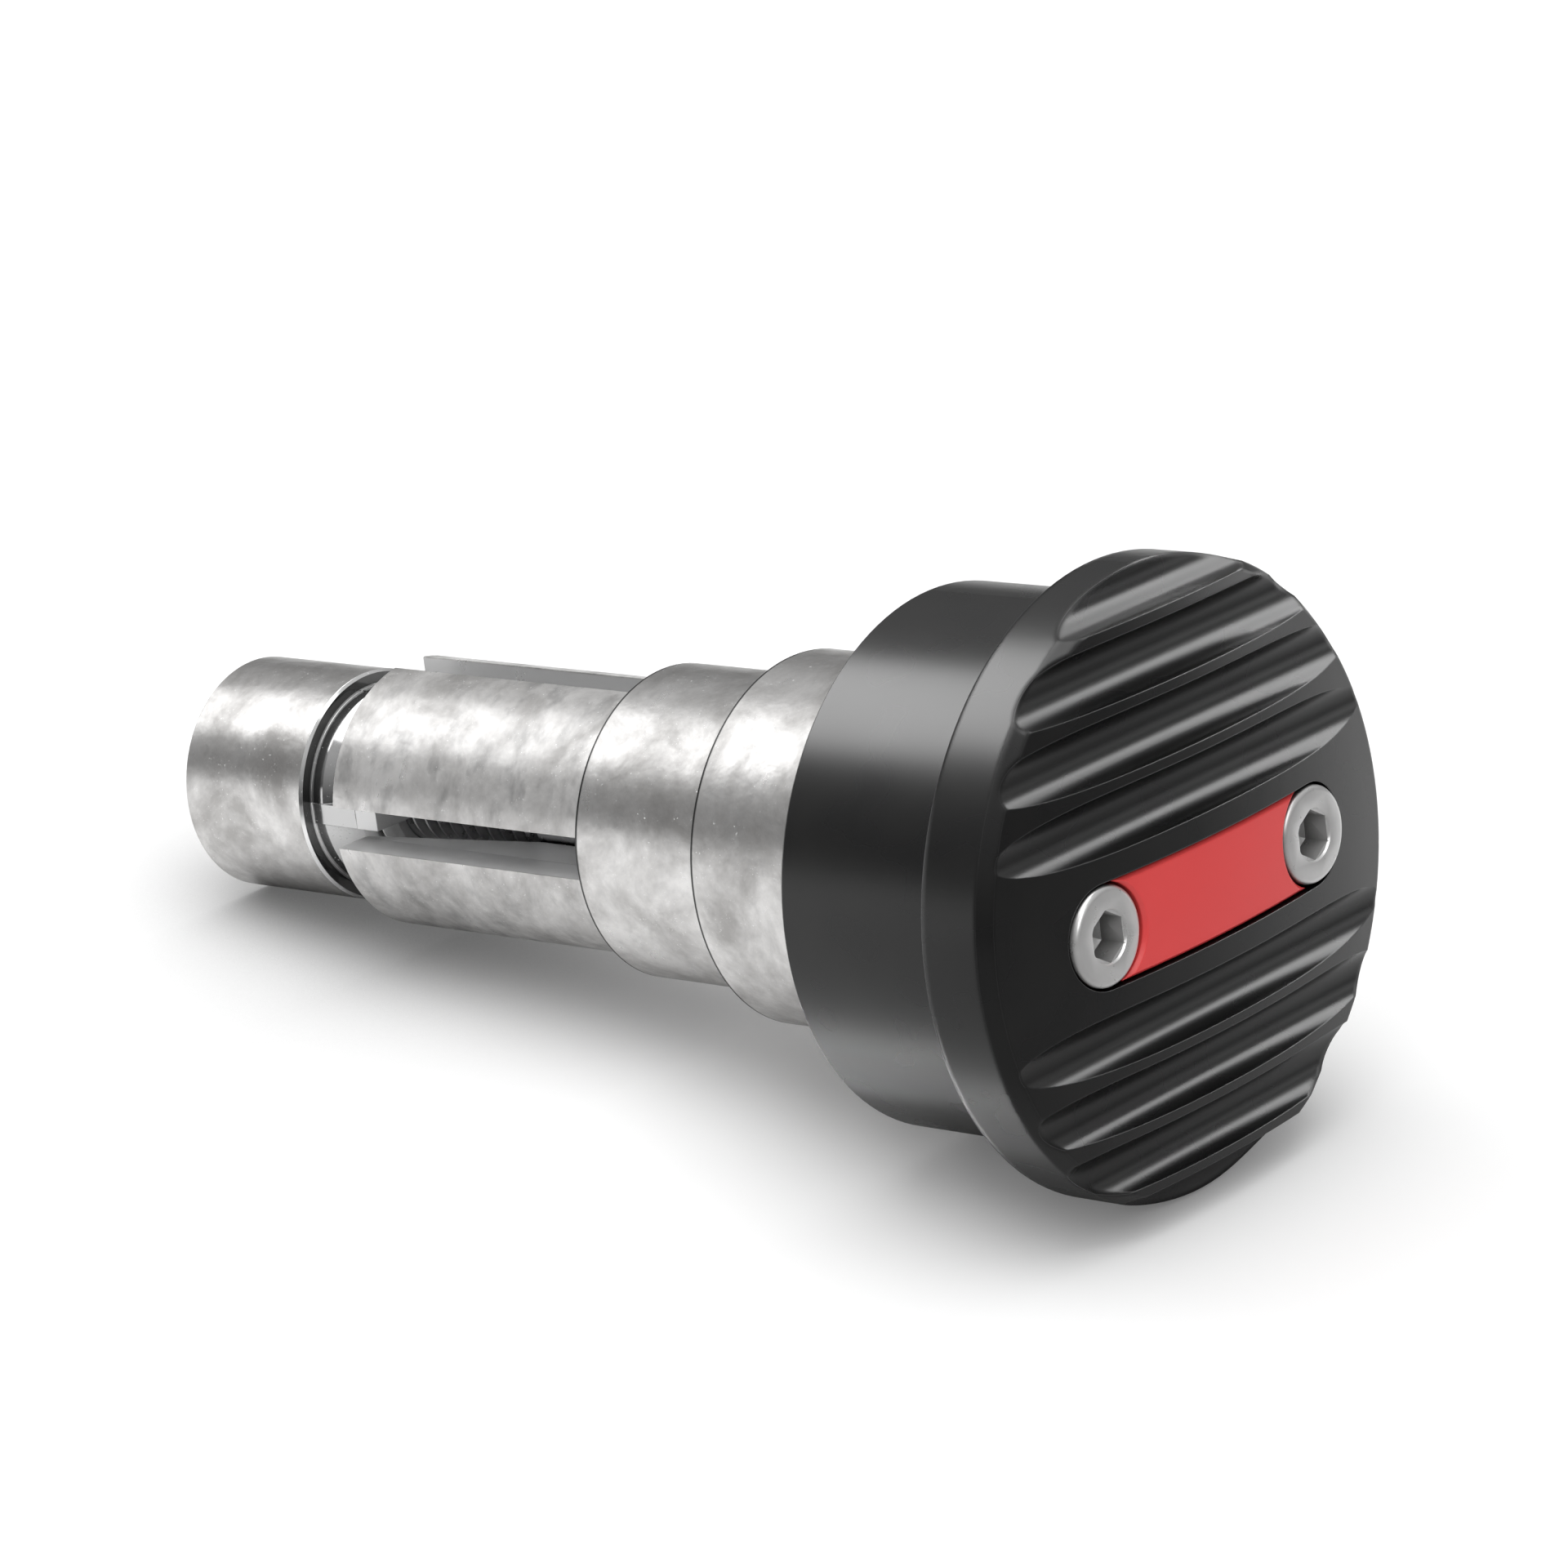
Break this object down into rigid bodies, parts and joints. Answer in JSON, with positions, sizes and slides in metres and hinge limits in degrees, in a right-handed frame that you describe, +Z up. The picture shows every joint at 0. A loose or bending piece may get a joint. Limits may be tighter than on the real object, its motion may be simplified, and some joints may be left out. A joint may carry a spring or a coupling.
{
  "type": "handlebar end weight",
  "caption": "Motorcycle handlebar end weight: crowned, fluted cap on a turned barrel, with spacer rings and a slotted sleeve that a bolt and cone nut spread inside the bar.",
  "frame": {"origin": "on the surface that the weight lies on, below the middle of its outline", "axes": "+Z up; the weight lies on the rim of its flange and the rim of its nut; +X runs towards the fluted face along the floor, with the turning axis 9.19 degrees above it; +Y along the level band of the face"},
  "size_m": [0.073, 0.035, 0.035],
  "materials": {
    "black_anodised": "black anodised, satin",
    "red_anodised": "red, satin",
    "stainless": "turned, bright",
    "zinc_steel": "zinc plated",
    "mottled_steel": "tumbled and clouded, with bright turned end faces"
  },
  "bodies": {
    "root": {"cap": "black_anodised", "barrel": "black_anodised", "cover_plate": "red_anodised", "plate_screws": "stainless", "clamp_bolt": "zinc_steel", "large_ring": "mottled_steel", "small_ring": "mottled_steel", "expansion_sleeve": "mottled_steel", "cone_nut": "mottled_steel"}
  },
  "joints": []
}
